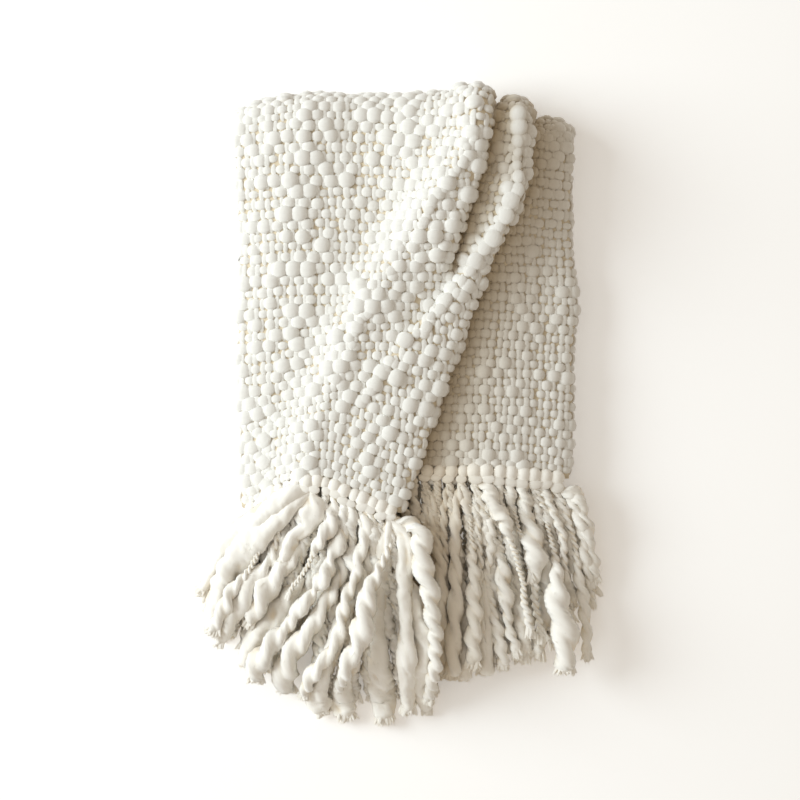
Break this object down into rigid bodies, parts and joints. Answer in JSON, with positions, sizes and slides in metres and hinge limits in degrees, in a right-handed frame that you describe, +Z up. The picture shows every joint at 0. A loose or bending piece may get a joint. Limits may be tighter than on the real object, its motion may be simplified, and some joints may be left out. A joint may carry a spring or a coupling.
{
  "type": "folded woven throw blanket",
  "caption": "Chunky woven wool throw with long fringe at both ends, folded in thirds and doubled over to lie flat.",
  "frame": {"origin": "centre of the lying throw's bounding box, on the surface that it lies on", "axes": "+Y from the fringe to the fold, +Z up from the surface, +X to the right"},
  "size_m": [0.4695, 0.7639, 0.1122],
  "materials": {
    "cloth": "cream wool in an open, uneven plain weave of thick and thin yarn",
    "fringe": "cream wool roving, loosely twisted and fluffy"
  },
  "bodies": {
    "root": {"throw": "cloth", "fringe_front": "fringe", "fringe_right": "fringe", "fringe_pleat": "fringe", "fringe_inner_left": "fringe", "fringe_inner_right": "fringe", "fringe_back": "fringe", "fringe_back_left": "fringe", "fringe_back_right": "fringe"}
  },
  "joints": []
}
